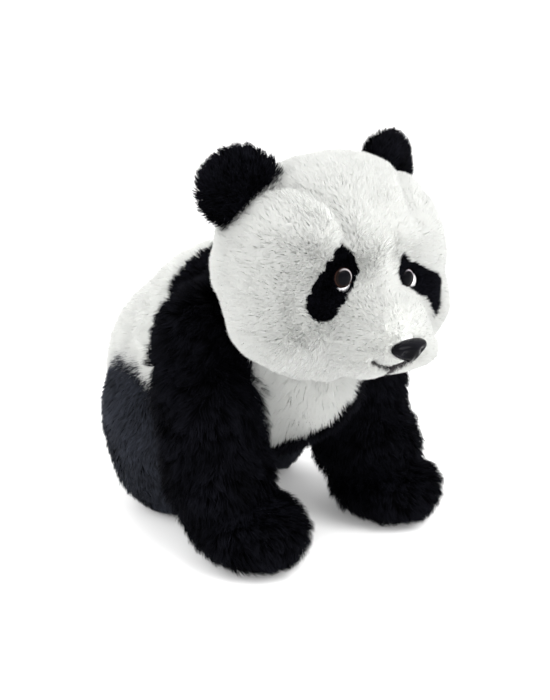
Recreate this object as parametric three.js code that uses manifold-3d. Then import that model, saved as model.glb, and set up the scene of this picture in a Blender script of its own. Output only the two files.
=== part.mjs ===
// A plush panda cub that stands on four stuffed legs, made the way the toy is sewn: pile-fabric panels
// round wads of fibre fill, bean bags in the feet, and plastic eyes and nose on stems with lock washers.
// Millimetres, +Z up, the floor at z = 0. The panda faces -Y, and its own left side is +X.
import * as THREE from "three";
import { mergeVertices } from "three/addons/utils/BufferGeometryUtils.js";
import Module from "manifold-3d";

const wasm = await Module();
wasm.setup();

// ---- Driving dimensions ----
const PILE = 10; // fabric and fur together
const SHORT_PILE = 6; // the trimmed pile on the tail
const GAP = 0.6; // between pieces that lie against each other
const NECK_GAP = 1.8; // round the neck's wad, which turns in its socket
const SEAM = 0.5; // between two panels at a seam
const SOLE = 8; // thickness of a sole panel
const FAR = 600; // longer than the toy, for cutting blocks

// Ellipsoids. `square` above 2 fills out the corners of the plan view.
const HEAD = { centre: [0, -98, 270], radii: [115, 75, 101], square: 2.5, facets: 18 };
const MUZZLE = { centre: [0, -149, 224], radii: [55, 50, 42], tilt: 15, facets: 14 };
const CHEST = { centre: [0, -16, 172], radii: [92, 66, 100] };
const RUMP = { centre: [0, 85, 132], radii: [96, 98, 98], facets: 14 };
const BACK = { centre: [0, 39, 172], radii: [94, 90, 92], facets: 14 };
const SHOULDER = { centre: [76, -15, 190], radii: [56, 54, 62], facets: 8 };
const ARM_TOP = { centre: [90, -29, 152], radii: [50, 54, 54], facets: 10 };
const ARM = { centre: [90, -35, 108], radii: [50, 50, 92], tilt: -6, facets: 10 };
const FOREARM = { centre: [92, -56, 74], radii: [50, 56, 52], facets: 10 };
const PAW = { centre: [89, -78, 37], radii: [56, 66, 41], facets: 10 };
const THIGH = { centre: [78, 82, 78], radii: [42, 59, 80], tilt: -10, facets: 10 };
const FOOT = { centre: [68, 62, 30], radii: [38, 54, 34], facets: 10 };
const TAIL = { centre: [0, 181, 96], radii: [25, 22, 30], tilt: 20, facets: 10 };
const EAR = { centre: [87, -78, 344], radii: [37, 16, 37], yaw: 17 };

const NECK_PIVOT = [0, -29, 206];
const NECK_RADIUS = 26;
const SHOULDER_PIVOT = ARM_TOP.centre;
const TAIL_PIVOT = [0, 165, 104];
const EAR_PIVOT = [78, -80, 321];

// The space that the head turns and nods in and that the legs swing in, and the angles, in degrees,
// that the other clearances are cut for. They reach past the joints' limits by a little.
const HEAD_ROOM = { centre: [0, -96, 266], radii: [140, 93, 114] };
const ARM_ROOM = { centre: [92, -31, 120], radii: [60, 66, 104] };
const HIND_ROOM = { centre: [80, 81, 74], radii: [54, 72, 94], tilt: -10 };
const ARM_SWING = [-13, 3.5];
const TAIL_LIFT = [0, 10, 21];
const EAR_FLEX = [-20, 0, 20];

const CHEST_BACK = -43; // where the white chest panel meets the black band, along Y
const CHEST_WIDTH = 58; // half width of the chest panel
const BAND_BACK = 42; // where the black band meets the white back, along Y
const BAND_BOTTOM = 130; // above this the black shoulder band, below it the black belly band
const SEAT_TOP = 104; // upper edge of the white underside panel
const PELLET_TOP = 72; // level of the bean bag inside the rump
const PELLET_FRONT = 39;
const FOOT_PELLET_TOP = 36;
const GUSSET = 36; // half width of the head's middle panel
const SPINE_SEAM = 1; // half width of the hand-sewn closing seam
const CLOSING = [150, 215]; // height of the closing seam's ends

// The head leans to the panda's left, so the left eye sits lower and looks further out.
const EYE = {
  left: { centre: [34, -156, 265], yaw: 8 },
  right: { centre: [-41, -156, 278], yaw: -16 },
  lift: 4,
};
const DOME = { radius: 10, bulge: 7, rings: 4 };
const IRIS = { thickness: 1.2, flange: 2.4 };
const SEAT = { radius: 16, low: -8, high: 13, clearance: 2.5 };
const PATCH = { across: 20, along: 37, lean: 30, drop: 12, low: -14, high: 30 };
const STEM = { radius: 2.4, end: -20 };
const WASHER = { radius: 9, hole: 2.8, low: -10.4, high: -8.8 };
const NOSE = { centre: [0, -193, 217], radii: [17, 10, 11.5], back: -192, stemEnd: -173 };
const NOSE_WASHER = { low: -186, high: -184.4 };
const MOUTH = { centre: [0, 195], corner: [25, 203], lip: [0, 206], thread: 1.2 };

// ---- Looks ----
const look = (color, roughness) => ({ color, roughness, metalness: 0 });
const WHITE_FUR = look(0xe9eae4, 0.95);
const BLACK_FUR = look(0x101014, 0.95);
const FILL = look(0xf4f2ec, 1);
const PELLETS = look(0xc9c4b4, 0.7);
const THREAD = look(0x241d1e, 0.8);
const WHITE_THREAD = look(0xd8d8d2, 0.8);
const BLACK_PLASTIC = look(0x08080a, 0.15);
const IRIS_PLASTIC = look(0x3a1d10, 0.25);
const CLEAR_PLASTIC = look(0xf4f8fa, 0.05);
const NATURAL_PLASTIC = look(0xdedcd2, 0.5);

// ---- Solids ----
function solidOf(geometry) {
  const bare = geometry.index ? geometry.toNonIndexed() : geometry.clone();
  bare.deleteAttribute("normal");
  bare.deleteAttribute("uv");
  const merged = mergeVertices(bare, 1e-4);
  return new wasm.Manifold(
    new wasm.Mesh({
      numProp: 3,
      vertProperties: merged.attributes.position.array,
      triVerts: new Uint32Array(merged.index.array),
    }),
  );
}

// An ellipsoid with `grow` added to every radius. side -1 mirrors it to the panda's right. The inner
// face of a panel, and the fill behind it, have fewer facets than the outer face.
function ellipsoid({ centre, radii, tilt = 0, yaw = 0, square = 2, facets = 12 }, grow = 0, side = 1) {
  const around = grow < -1 ? Math.round(facets * 0.75) : facets;
  const geometry = new THREE.SphereGeometry(1, around, Math.round(around * 0.6));
  geometry.rotateX(Math.PI / 2);
  const points = geometry.attributes.position;
  for (let i = 0; i < points.count; i++) {
    const [x, y, z] = [points.getX(i), points.getY(i), points.getZ(i)];
    const flat = (Math.abs(x) ** square + Math.abs(y) ** square) ** (1 / square);
    const scale = 1 / Math.hypot(flat, z);
    points.setXYZ(i, x * scale, y * scale, z * scale);
  }
  geometry.scale(radii[0] + grow, radii[1] + grow, radii[2] + grow);
  geometry.rotateX(THREE.MathUtils.degToRad(tilt));
  geometry.rotateZ(THREE.MathUtils.degToRad(yaw * side));
  geometry.translate(centre[0] * side, centre[1], centre[2]);
  return solidOf(geometry);
}

function block(low, high) {
  const geometry = new THREE.BoxGeometry(...high.map((v, i) => v - low[i]));
  geometry.translate(...high.map((v, i) => (v + low[i]) / 2));
  return solidOf(geometry);
}

// Space limited along some axes only: slab({ y: [10, 20], z: [0, 5] }).
function slab({ x = [-FAR, FAR], y = [-FAR, FAR], z = [-FAR, FAR] }) {
  return block([x[0], y[0], z[0]], [x[1], y[1], z[1]]);
}
const mirroredRange = ([low, high], side) => (side > 0 ? [low, high] : [-high, -low]);
const onSide = (point, side) => [point[0] * side, point[1], point[2]];
const joined = (solids) => solids.reduce((a, b) => a.add(b));
const without = (solid, ...tools) => tools.reduce((a, b) => a.subtract(b), solid);

const X_AXIS = new THREE.Vector3(1, 0, 0);
const Z_AXIS = new THREE.Vector3(0, 0, 1);
function turned(solid, axis, pivot, degrees) {
  const matrix = new THREE.Matrix4()
    .makeTranslation(...pivot)
    .multiply(new THREE.Matrix4().makeRotationAxis(axis, THREE.MathUtils.degToRad(degrees)))
    .multiply(new THREE.Matrix4().makeTranslation(...pivot.map((v) => -v)));
  return solid.transform(matrix.elements);
}
const swept = (solid, axis, pivot, angles) => joined(angles.map((a) => turned(solid, axis, pivot, a)));
const opposite = (angles) => angles.map((a) => -a);

// ---- Outer shapes, before their neighbours cut them ----
const BOTH = [1, -1];
const headShape = (grow = 0) => ellipsoid(HEAD, grow);
const torsoShape = (grow = 0) =>
  joined([
    ellipsoid(CHEST, grow),
    ellipsoid(BACK, grow),
    ellipsoid(RUMP, grow),
    ...BOTH.map((side) => ellipsoid(SHOULDER, grow, side)),
  ]);
const armShape = (side, grow = 0) => joined([ARM_TOP, ARM, FOREARM, PAW].map((e) => ellipsoid(e, grow, side)));
const hindShape = (side, grow = 0) => joined([THIGH, FOOT].map((e) => ellipsoid(e, grow, side)));
const tailShape = (grow = 0) => ellipsoid(TAIL, grow);
const NECK = { centre: NECK_PIVOT, radii: [NECK_RADIUS, NECK_RADIUS, NECK_RADIUS], facets: 10 };
const neckBall = (grow) => ellipsoid(NECK, grow);

// ---- Scene graph ----
const panda = new THREE.Group();
function addPart(name, solid, material) {
  const { vertProperties, triVerts } = solid.getMesh();
  const geometry = new THREE.BufferGeometry();
  geometry.setAttribute("position", new THREE.BufferAttribute(vertProperties, 3));
  geometry.setIndex(new THREE.BufferAttribute(triVerts, 1));
  const mesh = new THREE.Mesh(geometry, new THREE.MeshStandardMaterial(material));
  mesh.name = name;
  panda.add(mesh);
}

// ---- Torso: panels, fill, bean bag and the hand-sewn closing seam ----
const torsoCuts = [
  ellipsoid(HEAD_ROOM),
  neckBall(NECK_GAP),
  swept(tailShape(1.5), X_AXIS, TAIL_PIVOT, TAIL_LIFT),
  ...BOTH.flatMap((side) => [ARM_ROOM, HIND_ROOM].map((room) => ellipsoid(room, 0, side))),
];
const torsoOuter = without(torsoShape(), ...torsoCuts);
const torsoSkin = torsoOuter.subtract(torsoShape(-PILE));
const behindBand = [BAND_BACK + SEAM, FAR];
const back = torsoSkin.intersect(slab({ y: behindBand, z: [SEAT_TOP + SEAM, FAR] }));
const closing = slab({ x: [-SPINE_SEAM, SPINE_SEAM], y: [RUMP.centre[1], FAR], z: CLOSING });
const closingRoom = slab({
  x: [-SPINE_SEAM - GAP, SPINE_SEAM + GAP],
  y: [RUMP.centre[1], FAR],
  z: [CLOSING[0] - GAP, CLOSING[1] + GAP],
});
const backHalf = (x) => back.subtract(closingRoom).intersect(slab({ x }));
addPart("back_panel_left", backHalf([SEAM / 2, FAR]), WHITE_FUR);
addPart("back_panel_right", backHalf([-FAR, -SEAM / 2]), WHITE_FUR);
addPart("closing_seam", back.intersect(closing), WHITE_THREAD);
addPart("seat_panel", torsoSkin.intersect(slab({ y: behindBand, z: [-FAR, SEAT_TOP] })), WHITE_FUR);
const band = torsoSkin.intersect(slab({ y: [CHEST_BACK + SEAM, BAND_BACK] }));
addPart("shoulder_band", band.intersect(slab({ z: [BAND_BOTTOM + SEAM, FAR] })), BLACK_FUR);
addPart("belly_band", band.intersect(slab({ z: [-FAR, BAND_BOTTOM] })), BLACK_FUR);
const chest = slab({ x: [-CHEST_WIDTH, CHEST_WIDTH], y: [-FAR, CHEST_BACK] });
addPart("chest_panel", torsoSkin.intersect(chest), WHITE_FUR);
const torsoStuffing = torsoShape(-PILE - GAP).intersect(torsoOuter);
const rumpBottom = slab({ y: [PELLET_FRONT, FAR], z: [-FAR, PELLET_TOP] });
const rumpBottomRoom = slab({ y: [PELLET_FRONT - GAP, FAR], z: [-FAR, PELLET_TOP + GAP] });
addPart("torso_fill", torsoStuffing.subtract(rumpBottomRoom), FILL);
addPart("rump_bean_bag", torsoStuffing.intersect(rumpBottom), PELLETS);
addPart("neck_fill", neckBall(0), FILL);

// ---- Legs ----
const SIDES = [["left", 1], ["right", -1]];
function addLeg(name, label, side, shape, cuts, seamX) {
  const outer = without(shape(side).intersect(slab({ z: [0, FAR] })), ...cuts);
  const upper = outer.subtract(shape(side, -PILE)).intersect(slab({ z: [SOLE + SEAM, FAR] }));
  const outside = slab({ x: mirroredRange([seamX + SEAM, FAR], side) });
  const inside = slab({ x: mirroredRange([-FAR, seamX], side) });
  addPart(`${name}_outer_panel_${label}`, upper.intersect(outside), BLACK_FUR);
  addPart(`${name}_inner_panel_${label}`, upper.intersect(inside), BLACK_FUR);
  addPart(`${name}_sole_${label}`, outer.intersect(slab({ z: [0, SOLE] })), BLACK_FUR);
  const stuffing = shape(side, -PILE - GAP).intersect(outer);
  const bag = slab({ z: [SOLE + GAP, FOOT_PELLET_TOP] });
  addPart(`${name}_fill_${label}`, stuffing.intersect(slab({ z: [FOOT_PELLET_TOP + GAP, FAR] })), FILL);
  addPart(`${name}_bean_bag_${label}`, stuffing.intersect(bag), PELLETS);
}
for (const [label, side] of SIDES) {
  const headSeenByArm = swept(ellipsoid(HEAD_ROOM), X_AXIS, onSide(SHOULDER_PIVOT, side),
    opposite(ARM_SWING));
  addLeg("foreleg", label, side, armShape, [headSeenByArm], ARM.centre[0]);
  addLeg("hind_leg", label, side, hindShape, [], THIGH.centre[0]);
}

// ---- Tail ----
const torsoSeenByTail = swept(ellipsoid(RUMP, 1.5), X_AXIS, TAIL_PIVOT, opposite(TAIL_LIFT));
const tailOuter = tailShape().subtract(torsoSeenByTail);
const tailSkin = tailOuter.subtract(tailShape(-SHORT_PILE));
addPart("tail_upper_panel", tailSkin.intersect(slab({ z: [TAIL.centre[2] + SEAM, FAR] })), WHITE_FUR);
addPart("tail_lower_panel", tailSkin.intersect(slab({ z: [-FAR, TAIL.centre[2]] })), WHITE_FUR);
addPart("tail_fill", tailShape(-SHORT_PILE - GAP).intersect(tailOuter), FILL);

// ---- Eyes: each is built along a local +Z that points out of the face ----
// A solid of revolution about the eye's axis, from [radius, height] points that start and end on it.
function eyeSolid(profile, side, around = 12) {
  const geometry = new THREE.LatheGeometry(profile.map(([r, h]) => new THREE.Vector2(r, h)), around);
  geometry.rotateX(Math.PI / 2);
  return placedAtEye(geometry, side);
}
function placedAtEye(geometry, side) {
  const eye = side > 0 ? EYE.left : EYE.right;
  geometry.rotateX(Math.PI / 2 - THREE.MathUtils.degToRad(EYE.lift));
  geometry.rotateZ(THREE.MathUtils.degToRad(eye.yaw));
  geometry.translate(...eye.centre);
  return solidOf(geometry);
}
const rod = (radius, low, high, side, around) =>
  eyeSolid([[0, low], [radius, low], [radius, high], [0, high]], side, around);
// The eye patch: an oval prism along the eye's axis that leans out and down the face.
function patchPrism(side, grow) {
  const lean = THREE.MathUtils.degToRad(PATCH.lean);
  const oval = new THREE.Shape();
  oval.absellipse(
    PATCH.drop * Math.sin(lean) * side, -PATCH.drop * Math.cos(lean),
    PATCH.across + grow, PATCH.along + grow, 0, 2 * Math.PI, false, lean * side);
  const geometry = new THREE.ExtrudeGeometry(oval, {
    depth: PATCH.high - PATCH.low, bevelEnabled: false, curveSegments: 9,
  });
  geometry.translate(0, 0, PATCH.low);
  return placedAtEye(geometry, side);
}
function dome() {
  const arc = [];
  for (let i = 0; i <= DOME.rings; i++) {
    const angle = (i / DOME.rings) * (Math.PI / 2);
    arc.push([DOME.radius * Math.cos(angle), DOME.bulge * Math.sin(angle)]);
  }
  arc[DOME.rings][0] = 0;
  return [[0, 0], ...arc];
}

// ---- Head ----
const headHollow = (grow) =>
  headShape(-PILE + grow).add(ellipsoid(MUZZLE, -PILE + grow));
const seat = (side, grow) => rod(SEAT.radius + grow, SEAT.low - grow, SEAT.high, side);
const muzzleOuter = ellipsoid(MUZZLE).subtract(headShape(SEAM));
const headSkin = headShape().subtract(headHollow(0)).subtract(neckBall(NECK_GAP));
const seats = BOTH.map((side) => seat(side, 0).intersect(headShape()).subtract(ellipsoid(MUZZLE, SEAM)));
const headWithSeats = joined([headSkin, ...seats]);
const headPanels = without(headWithSeats, ...BOTH.map((side) => patchPrism(side, SEAM)));
const headSide = (side) => headPanels.intersect(slab({ x: mirroredRange([GUSSET + SEAM, FAR], side) }));
addPart("head_gusset", headPanels.intersect(slab({ x: [-GUSSET, GUSSET] })), WHITE_FUR);
for (const [label, side] of SIDES) addPart(`head_side_panel_${label}`, headSide(side), WHITE_FUR);

for (const [label, side] of SIDES) {
  const pocket = rod(DOME.radius + SEAT.clearance, -IRIS.thickness - IRIS.flange - GAP, PATCH.high, side);
  const stemHole = rod(STEM.radius + GAP / 2, STEM.end, 0, side, 8);
  addPart(`eye_patch_${label}`,
    without(headWithSeats.intersect(patchPrism(side, 0)), pocket, stemHole), BLACK_FUR);
  addPart(`eye_dome_${label}`, eyeSolid(dome(), side), CLEAR_PLASTIC);
  addPart(`eye_iris_${label}`, rod(DOME.radius - 0.4, -IRIS.thickness, -GAP / 2, side), IRIS_PLASTIC);
  const top = -IRIS.thickness - GAP / 2;
  addPart(`eye_stem_${label}`, eyeSolid([
    [0, STEM.end], [STEM.radius, STEM.end], [STEM.radius, top - IRIS.flange],
    [DOME.radius, top - IRIS.flange], [DOME.radius, top], [0, top],
  ], side), BLACK_PLASTIC);
  const ring = rod(WASHER.radius, WASHER.low, WASHER.high, side);
  addPart(`eye_washer_${label}`, ring.subtract(rod(WASHER.hole, WASHER.low - 1, WASHER.high + 1, side, 8)),
    NATURAL_PLASTIC);
}

// ---- Nose and mouth ----
function rodAlongY(radius, low, high) {
  const geometry = new THREE.CylinderGeometry(radius, radius, high - low, 12);
  geometry.translate(0, (low + high) / 2, 0);
  geometry.translate(0, 0, NOSE.centre[2]);
  return solidOf(geometry);
}
const noseCap = (grow) => ellipsoid(NOSE, grow).intersect(slab({ y: [-FAR, NOSE.back + grow] }));
addPart("nose", noseCap(0).add(rodAlongY(STEM.radius, NOSE.back - 1, NOSE.stemEnd)), BLACK_PLASTIC);
const noseRing = rodAlongY(WASHER.radius, NOSE_WASHER.low, NOSE_WASHER.high);
addPart("nose_washer",
  noseRing.subtract(rodAlongY(WASHER.hole, NOSE_WASHER.low - 1, NOSE_WASHER.high + 1)), NATURAL_PLASTIC);

// The front of the muzzle at a place across and up the face.
function onMuzzle([x, z]) {
  const ray = new THREE.Raycaster(new THREE.Vector3(x, -FAR, z), new THREE.Vector3(0, 1, 0));
  return ray.intersectObject(muzzleSurface)[0].point;
}
const muzzleSurface = new THREE.Mesh(new THREE.SphereGeometry(1, 64, 48), new THREE.MeshBasicMaterial());
muzzleSurface.scale.set(...MUZZLE.radii);
muzzleSurface.rotation.x = THREE.MathUtils.degToRad(MUZZLE.tilt);
muzzleSurface.position.set(...MUZZLE.centre);
muzzleSurface.updateMatrixWorld();
function threadAlong(points, radius, steps) {
  const section = new THREE.Shape().absarc(0, 0, radius, 0, 2 * Math.PI);
  const path = new THREE.CatmullRomCurve3(points.map(onMuzzle));
  const options = { steps, curveSegments: 3, bevelEnabled: false, extrudePath: path };
  return solidOf(new THREE.ExtrudeGeometry(section, options));
}
const mouth = (grow) => {
  const radius = MOUTH.thread + grow;
  const [cx, cz] = MOUTH.corner;
  const smile = [[-cx - grow, cz], [-cx / 2, MOUTH.centre[1]], MOUTH.centre, [cx / 2, MOUTH.centre[1]],
    [cx + grow, cz]];
  return threadAlong(smile, radius, 8).add(threadAlong([MOUTH.centre, MOUTH.lip], radius, 2));
};
addPart("mouth_thread", mouth(0).subtract(noseCap(GAP)), THREAD);
const muzzleSkin = without(muzzleOuter.subtract(headHollow(0)), noseCap(GAP), mouth(GAP / 2),
  rodAlongY(STEM.radius + GAP / 2, NOSE.back - 2, NOSE.stemEnd),
  rodAlongY(WASHER.radius + GAP, NOSE_WASHER.low - GAP, NOSE.stemEnd),
  ...BOTH.map((side) => seat(side, SEAM)));
addPart("muzzle_panel", muzzleSkin, WHITE_FUR);
addPart("head_fill", without(headHollow(-GAP), neckBall(NECK_GAP),
  rodAlongY(WASHER.radius + GAP, NOSE_WASHER.low - 3, NOSE_WASHER.high + GAP),
  rodAlongY(STEM.radius + GAP, NOSE_WASHER.low, NOSE.stemEnd + GAP),
  ...BOTH.map((side) => seat(side, GAP)),
  ...BOTH.map((side) => rod(WASHER.radius + GAP, WASHER.low - GAP, 0, side)),
  ...BOTH.map((side) => rod(STEM.radius + GAP, STEM.end - GAP, 0, side, 8))), FILL);

// ---- Ears: two panels each, with no fill ----
for (const [label, side] of SIDES) {
  const yaw = THREE.MathUtils.degToRad(EAR.yaw * side);
  const across = new THREE.Vector3(Math.cos(yaw), Math.sin(yaw), 0);
  const headSeenByEar = swept(ellipsoid(HEAD, 1.5), across, onSide(EAR_PIVOT, side),
    opposite(EAR_FLEX));
  const ear = ellipsoid(EAR, 0, side).subtract(headSeenByEar);
  const halfOf = (y) => {
    const space = turned(slab({ y }), Z_AXIS, [0, 0, 0], EAR.yaw * side);
    return ear.intersect(space.transform(
      new THREE.Matrix4().makeTranslation(...onSide(EAR.centre, side)).elements));
  };
  addPart(`ear_front_panel_${label}`, halfOf([-FAR, -SEAM / 2]), BLACK_FUR);
  addPart(`ear_back_panel_${label}`, halfOf([SEAM / 2, FAR]), BLACK_FUR);
}

export default panda;
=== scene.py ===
"""Looks of a plush panda cub: sewn skins, fur, plastic eyes and nose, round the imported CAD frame.

Metres, +Z up. The panda faces -Y and its own left side is +X. Shapes below are in millimetres.
"""
import math

import bmesh
import bpy
import numpy as np
from mathutils import Matrix, Vector
from mathutils.kdtree import KDTree


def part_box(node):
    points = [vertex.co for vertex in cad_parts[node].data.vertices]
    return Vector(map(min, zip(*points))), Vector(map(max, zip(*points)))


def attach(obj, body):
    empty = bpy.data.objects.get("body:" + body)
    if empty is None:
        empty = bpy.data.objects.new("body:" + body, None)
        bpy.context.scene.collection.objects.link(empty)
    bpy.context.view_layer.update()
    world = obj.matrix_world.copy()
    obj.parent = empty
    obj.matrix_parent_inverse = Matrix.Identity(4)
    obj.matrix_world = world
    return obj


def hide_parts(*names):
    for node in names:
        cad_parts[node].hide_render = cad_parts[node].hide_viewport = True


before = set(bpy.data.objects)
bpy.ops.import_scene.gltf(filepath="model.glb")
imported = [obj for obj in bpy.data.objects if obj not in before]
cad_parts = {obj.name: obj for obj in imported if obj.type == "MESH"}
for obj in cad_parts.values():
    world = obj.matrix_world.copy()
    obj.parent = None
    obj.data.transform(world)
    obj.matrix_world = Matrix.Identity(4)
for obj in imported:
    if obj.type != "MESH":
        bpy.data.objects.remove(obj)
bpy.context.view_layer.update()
MM = 0.001
STRAND_SHARE, STRAND_WIDENING = ((1, 1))

# ---------------------------------------------------------------- camera and light
VIEW_TARGET = Vector((0, -21, 172)) * MM
VIEW_AZIMUTH, VIEW_ELEVATION = math.radians(-40), math.radians(18)
VIEW_DISTANCE = 1.3
LENS, SENSOR = 70.35, 36
SKY_STRENGTH, FLOOR_GLOW = 1.23, 0.15
SUNS = (  # name, azimuth, elevation, strength, spread
    ("key", 12, 52, 2.45, 45),
    ("fill", -110, 35, 0.95, 60),
    ("back", 200, 40, 0.4, 60),
    ("spark", 5, 62, 0.15, 3),
)


def direction(azimuth, elevation):
    """Unit vector at two angles in radians. Azimuth 0 is in front of the panda, along -Y."""
    return Vector((
        math.sin(azimuth) * math.cos(elevation),
        -math.cos(azimuth) * math.cos(elevation),
        math.sin(elevation),
    ))


def aim(obj, place, target):
    obj.location = place
    obj.rotation_euler = (target - place).to_track_quat("-Z", "Y").to_euler()


def add_camera():
    camera = bpy.data.objects.new("camera", bpy.data.cameras.new("camera"))
    camera.data.lens = LENS
    camera.data.sensor_width = SENSOR
    camera.data.clip_end = 30
    back = direction(VIEW_AZIMUTH, VIEW_ELEVATION)
    aim(camera, VIEW_TARGET + back * VIEW_DISTANCE, VIEW_TARGET)
    bpy.context.scene.collection.objects.link(camera)
    bpy.context.scene.camera = camera


def add_sun(name, azimuth, elevation, strength, spread):
    """Even light from far away, angles in degrees. Azimuth 90 is on the panda's left."""
    light = bpy.data.lights.new(name, "SUN")
    light.energy = strength
    light.angle = math.radians(spread)
    holder = bpy.data.objects.new(name, light)
    place = direction(math.radians(azimuth), math.radians(elevation))
    aim(holder, place * 3, Vector((0, 0, 0)))
    bpy.context.scene.collection.objects.link(holder)


def add_studio():
    scene = bpy.context.scene
    scene.view_settings.view_transform = "Standard"
    scene.world = bpy.data.worlds.new("studio")
    scene.world.use_nodes = True
    sky = scene.world.node_tree.nodes["Background"]
    sky.inputs["Color"].default_value = (1, 1, 1, 1)
    sky.inputs["Strength"].default_value = SKY_STRENGTH
    for sun in SUNS:
        add_sun(*sun)
    bpy.ops.mesh.primitive_plane_add(size=60, location=(0, 0, -0.0005))
    floor = bpy.context.object
    floor.name = "floor"
    paint, _, _, shader = new_material("floor_paint", (0.95, 0.95, 0.95), 0.8)
    shader.inputs["Emission Color"].default_value = (1, 1, 1, 1)
    shader.inputs["Emission Strength"].default_value = FLOOR_GLOW
    floor.data.materials.append(paint)


# ---------------------------------------------------------------- materials
def new_material(name, colour, roughness):
    material = bpy.data.materials.new(name)
    material.use_nodes = True
    nodes, links = material.node_tree.nodes, material.node_tree.links
    shader = nodes["Principled BSDF"]
    shader.inputs["Base Color"].default_value = (*colour, 1)
    shader.inputs["Roughness"].default_value = roughness
    return material, nodes, links, shader


def two_tone(nodes, links, factor, shader, dark, light):
    """Base colour between two tones, by a factor socket."""
    ramp = nodes.new("ShaderNodeValToRGB")
    ramp.color_ramp.elements[0].position = 0.35
    ramp.color_ramp.elements[1].position = 0.65
    ramp.color_ramp.elements[0].color = (*dark, 1)
    ramp.color_ramp.elements[1].color = (*light, 1)
    links.new(factor, ramp.inputs["Fac"])
    links.new(ramp.outputs["Color"], shader.inputs["Base Color"])


def add_bump(nodes, links, height, shader, strength, distance):
    bump = nodes.new("ShaderNodeBump")
    bump.inputs["Strength"].default_value = strength
    bump.inputs["Distance"].default_value = distance
    links.new(height, bump.inputs["Height"])
    links.new(bump.outputs["Normal"], shader.inputs["Normal"])


def noise_on(nodes, links, scale):
    place = nodes.new("ShaderNodeTexCoord")
    noise = nodes.new("ShaderNodeTexNoise")
    noise.inputs["Scale"].default_value = scale
    noise.inputs["Detail"].default_value = 3.0
    links.new(place.outputs["Object"], noise.inputs["Vector"])
    return noise.outputs["Fac"]


def cloth_material(name, dark, light, scale=900, roughness=0.9, sheen=0.2, gloss=0.5):
    """Knitted backing or woven cloth: a fine grain in colour and relief."""
    material, nodes, links, shader = new_material(name, light, roughness)
    grain = noise_on(nodes, links, scale)
    two_tone(nodes, links, grain, shader, dark, light)
    add_bump(nodes, links, grain, shader, 0.4, 0.0004)
    shader.inputs["Sheen Weight"].default_value = sheen
    shader.inputs["Specular IOR Level"].default_value = gloss
    return material


def plastic_material(name, dark, light, roughness, coat=0.0):
    """Moulded plastic, faintly mottled, with a clear coat if asked."""
    material, nodes, links, shader = new_material(name, light, roughness)
    shader.inputs["Coat Weight"].default_value = coat
    shader.inputs["Coat Roughness"].default_value = 0.04
    two_tone(nodes, links, noise_on(nodes, links, 60), shader, dark, light)
    return material


TONES = 12  # steps of tone between strands
UV_LAYER = "OFBake"


def fur_material(name, root, middle, tip, spread, gloss=0.1, glow=0.0):
    """Strand colour: root to tip along the strand, and a tone of its own for each strand.

    The UV layer holds the strand's tone across and the place along it upwards. glow is the share of
    light that passes through a strand.
    """
    material, nodes, links, shader = new_material(name, middle, 0.6)
    uv = nodes.new("ShaderNodeUVMap")
    uv.uv_map = UV_LAYER
    split = nodes.new("ShaderNodeSeparateXYZ")
    links.new(uv.outputs["UV"], split.inputs["Vector"])
    # Root to tip: darker roots are painted shade, as deep down among the strands.
    along = nodes.new("ShaderNodeValToRGB")
    along.color_ramp.elements[0].color = (*root, 1)
    along.color_ramp.elements[1].color = (*tip, 1)
    along.color_ramp.elements.new(0.45).color = (*middle, 1)
    links.new(split.outputs["Y"], along.inputs["Fac"])
    tone = nodes.new("ShaderNodeMapRange")
    tone.inputs["To Min"].default_value = 1 - spread
    tone.inputs["To Max"].default_value = 1 + spread
    links.new(split.outputs["X"], tone.inputs["Value"])
    scaled = nodes.new("ShaderNodeVectorMath")
    scaled.operation = "SCALE"
    links.new(along.outputs["Color"], scaled.inputs[0])
    links.new(tone.outputs["Result"], scaled.inputs["Scale"])
    links.new(scaled.outputs["Vector"], shader.inputs["Base Color"])
    shader.inputs["Specular IOR Level"].default_value = gloss
    if glow:
        through = nodes.new("ShaderNodeBsdfTranslucent")
        both = nodes.new("ShaderNodeMixShader")
        both.inputs["Fac"].default_value = glow
        links.new(scaled.outputs["Vector"], through.inputs["Color"])
        links.new(shader.outputs["BSDF"], both.inputs[1])
        links.new(through.outputs["BSDF"], both.inputs[2])
        links.new(both.outputs["Shader"], nodes["Material Output"].inputs["Surface"])
    return material


# ---------------------------------------------------------------- stuffed shapes
class Lump:
    """An ellipsoid in millimetres, as the CAD frame has it, drawn in by the height of its fur."""

    def __init__(self, centre, radii, fur, tilt=0.0, yaw=0.0, square=2.0):
        self.centre = np.array(centre, float)
        self.radii = np.array(radii, float) - fur
        self.square = square
        yawed = Matrix.Rotation(math.radians(yaw), 3, "Z")
        self.axes = np.array(yawed @ Matrix.Rotation(math.radians(tilt), 3, "X"))

    def mirrored(self):
        other = Lump((0, 0, 0), (1, 1, 1), 0, square=self.square)
        flip = np.diag([-1.0, 1.0, 1.0])
        other.centre = self.centre @ flip
        other.radii = self.radii
        other.axes = flip @ self.axes @ flip
        return other

    def level(self, points):
        """About the distance outside the surface, in millimetres."""
        local = (points - self.centre) @ self.axes / self.radii
        flat = (np.abs(local[:, 0]) ** self.square + np.abs(local[:, 1]) ** self.square)
        flat = flat ** (1 / self.square)
        reach = np.hypot(flat, local[:, 2]) + 1e-9
        distance = np.linalg.norm(points - self.centre, axis=1)
        return (reach - 1) * distance / reach

    def placed(self):
        """The matrix that turns a unit sphere into this ellipsoid."""
        matrix = Matrix(self.axes.tolist()).to_4x4() @ Matrix.Diagonal((*self.radii, 1))
        return Matrix.Translation(self.centre.tolist()) @ matrix


def joined_level(lumps, blend):
    """Smooth union of lumps: their surfaces run into each other over about `blend` mm."""
    def level(points):
        levels = np.stack([lump.level(points) for lump in lumps])
        nearest = levels.min(axis=0)
        return nearest - blend * np.log(np.exp((nearest - levels) / blend).sum(axis=0))
    return level


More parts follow.
